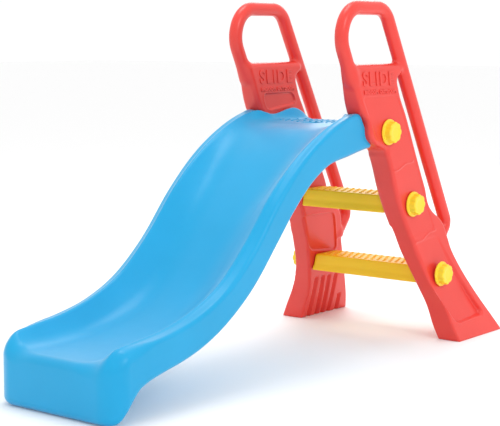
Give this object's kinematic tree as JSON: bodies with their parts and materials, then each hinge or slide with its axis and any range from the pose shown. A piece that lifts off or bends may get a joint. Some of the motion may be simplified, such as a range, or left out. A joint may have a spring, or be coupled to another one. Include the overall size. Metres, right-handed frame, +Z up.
{
  "type": "toddler slide",
  "caption": "Free-standing plastic slide for small children: wavy chute with standing deck, side panels with hand loops and rails, steps, and knob screws.",
  "frame": {"origin": "on the floor, under the middle of the bounding box", "axes": "+Z up, +Y from the exit of the chute towards the ladder, +X across to the panel nearest the viewer"},
  "size_m": [0.489, 1.194, 0.748],
  "materials": {
    "panel": "semi-gloss moulded red polyethylene",
    "chute": "semi-gloss moulded blue polyethylene",
    "step": "semi-gloss moulded yellow polyethylene",
    "knob": "semi-gloss moulded light yellow polypropylene",
    "steel": "zinc-plated steel screw",
    "insert": "natural nylon"
  },
  "bodies": {
    "frame": {"side_panel_left": "panel", "side_panel_right": "panel", "slide_chute": "chute", "step_lower": "step", "step_upper": "step", "insert_chute_left": "insert", "insert_chute_right": "insert", "insert_upper_step_left": "insert", "insert_upper_step_right": "insert", "insert_lower_step_left": "insert", "insert_lower_step_right": "insert"},
    "screw_chute_left": {"stud_chute_left": "steel"},
    "grip_chute_left": {"knob_chute_left": "knob"},
    "screw_chute_right": {"stud_chute_right": "steel"},
    "grip_chute_right": {"knob_chute_right": "knob"},
    "screw_upper_step_left": {"stud_upper_step_left": "steel"},
    "grip_upper_step_left": {"knob_upper_step_left": "knob"},
    "screw_upper_step_right": {"stud_upper_step_right": "steel"},
    "grip_upper_step_right": {"knob_upper_step_right": "knob"},
    "screw_lower_step_left": {"stud_lower_step_left": "steel"},
    "grip_lower_step_left": {"knob_lower_step_left": "knob"},
    "screw_lower_step_right": {"stud_lower_step_right": "steel"},
    "grip_lower_step_right": {"knob_lower_step_right": "knob"}
  },
  "joints": [
    {"name": "travel_chute_left", "type": "slide", "parent": "frame", "child": "screw_chute_left", "axis": [-1, 0, 0], "range_m": [0, 0.015]},
    {"name": "turn_chute_left", "type": "hinge", "parent": "screw_chute_left", "child": "grip_chute_left", "pos_m": [-0.17, 0.241, 0.472], "axis": [-1, 0, 0], "range_deg": [0, 1080]},
    {"name": "travel_chute_right", "type": "slide", "parent": "frame", "child": "screw_chute_right", "axis": [1, 0, 0], "range_m": [0, 0.015]},
    {"name": "turn_chute_right", "type": "hinge", "parent": "screw_chute_right", "child": "grip_chute_right", "pos_m": [0.17, 0.241, 0.472], "axis": [1, 0, 0], "range_deg": [0, 1080]},
    {"name": "travel_upper_step_left", "type": "slide", "parent": "frame", "child": "screw_upper_step_left", "axis": [-1, 0, 0], "range_m": [0, 0.015]},
    {"name": "turn_upper_step_left", "type": "hinge", "parent": "screw_upper_step_left", "child": "grip_upper_step_left", "pos_m": [-0.17, 0.337, 0.309], "axis": [-1, 0, 0], "range_deg": [0, 1080]},
    {"name": "travel_upper_step_right", "type": "slide", "parent": "frame", "child": "screw_upper_step_right", "axis": [1, 0, 0], "range_m": [0, 0.015]},
    {"name": "turn_upper_step_right", "type": "hinge", "parent": "screw_upper_step_right", "child": "grip_upper_step_right", "pos_m": [0.17, 0.337, 0.309], "axis": [1, 0, 0], "range_deg": [0, 1080]},
    {"name": "travel_lower_step_left", "type": "slide", "parent": "frame", "child": "screw_lower_step_left", "axis": [-1, 0, 0], "range_m": [0, 0.015]},
    {"name": "turn_lower_step_left", "type": "hinge", "parent": "screw_lower_step_left", "child": "grip_lower_step_left", "pos_m": [-0.17, 0.416, 0.147], "axis": [-1, 0, 0], "range_deg": [0, 1080]},
    {"name": "travel_lower_step_right", "type": "slide", "parent": "frame", "child": "screw_lower_step_right", "axis": [1, 0, 0], "range_m": [0, 0.015]},
    {"name": "turn_lower_step_right", "type": "hinge", "parent": "screw_lower_step_right", "child": "grip_lower_step_right", "pos_m": [0.17, 0.416, 0.147], "axis": [1, 0, 0], "range_deg": [0, 1080]}
  ],
  "couplings": [
    {"joint": "turn_chute_left", "follows": "travel_chute_left", "rad_per_m": 1256.6},
    {"joint": "turn_chute_right", "follows": "travel_chute_right", "rad_per_m": 1256.6},
    {"joint": "turn_upper_step_left", "follows": "travel_upper_step_left", "rad_per_m": 1256.6},
    {"joint": "turn_upper_step_right", "follows": "travel_upper_step_right", "rad_per_m": 1256.6},
    {"joint": "turn_lower_step_left", "follows": "travel_lower_step_left", "rad_per_m": 1256.6},
    {"joint": "turn_lower_step_right", "follows": "travel_lower_step_right", "rad_per_m": 1256.6}
  ]
}
